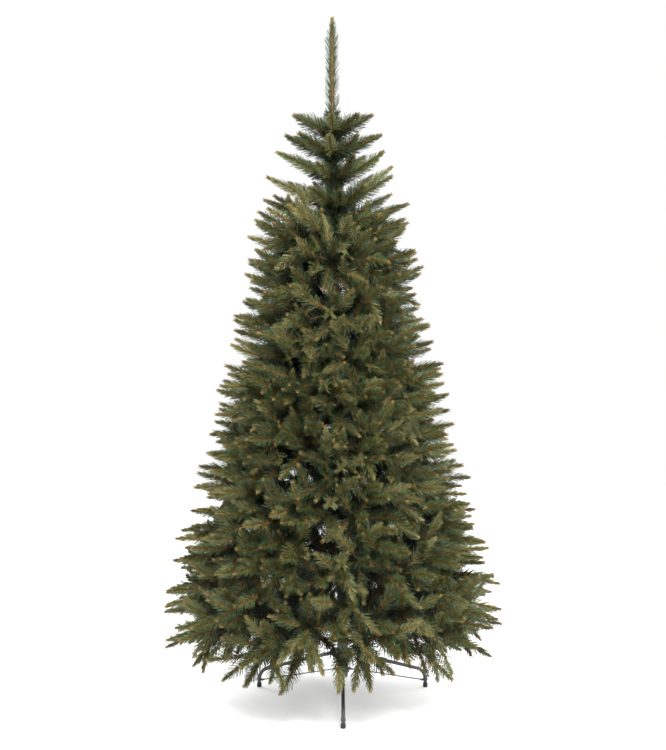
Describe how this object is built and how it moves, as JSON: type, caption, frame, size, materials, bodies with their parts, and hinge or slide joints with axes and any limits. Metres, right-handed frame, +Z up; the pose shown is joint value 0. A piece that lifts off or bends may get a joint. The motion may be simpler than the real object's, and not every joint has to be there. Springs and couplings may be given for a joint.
{
  "type": "artificial spruce tree",
  "caption": "Undecorated artificial spruce with full brush-tipped boughs, a tall leader and a dark folding stand.",
  "frame": {"origin": "on the floor straight below the tip of the leader, where the feet stand", "axes": "+Z up, -Y towards the front leg and the viewer, +X to the viewer's right"},
  "size_m": [0.9031, 0.9, 1.8],
  "materials": {
    "needles": "matt",
    "leader": "matt",
    "pole": "satin",
    "stand": "satin",
    "foot_caps": "matt"
  },
  "bodies": {
    "root": {"brace_front": "stand", "brace_left": "stand", "brace_right": "stand", "foot_cap_front": "foot_caps", "foot_cap_left": "foot_caps", "foot_cap_right": "foot_caps", "leader": "leader", "leg_front": "stand", "leg_left": "stand", "leg_right": "stand", "pole": "pole", "stand_collar": "stand", "stand_hub": "stand", "stand_tube": "stand", "tier_1_branch_1": "needles", "tier_1_branch_2": "needles", "tier_1_branch_3": "needles", "tier_1_branch_4": "needles", "tier_2_branch_1": "needles", "tier_2_branch_2": "needles", "tier_2_branch_3": "needles", "tier_2_branch_4": "needles", "tier_3_branch_1": "needles", "tier_3_branch_2": "needles", "tier_3_branch_3": "needles", "tier_3_branch_4": "needles", "tier_3_branch_5": "needles", "tier_4_branch_1": "needles", "tier_4_branch_2": "needles", "tier_4_branch_3": "needles", "tier_4_branch_4": "needles", "tier_4_branch_5": "needles", "tier_5_branch_1": "needles", "tier_5_branch_2": "needles", "tier_5_branch_3": "needles", "tier_5_branch_4": "needles", "tier_5_branch_5": "needles", "tier_6_branch_1": "needles", "tier_6_branch_2": "needles", "tier_6_branch_3": "needles", "tier_6_branch_4": "needles", "tier_6_branch_5": "needles", "tier_7_branch_1": "needles", "tier_7_branch_2": "needles", "tier_7_branch_3": "needles", "tier_7_branch_4": "needles", "tier_7_branch_5": "needles", "tier_7_branch_6": "needles", "tier_8_branch_1": "needles", "tier_8_branch_2": "needles", "tier_8_branch_3": "needles", "tier_8_branch_4": "needles", "tier_8_branch_5": "needles", "tier_8_branch_6": "needles", "whorl_1": "needles", "whorl_2": "needles", "whorl_3": "needles", "whorl_4": "needles", "whorl_5": "needles"}
  },
  "joints": []
}
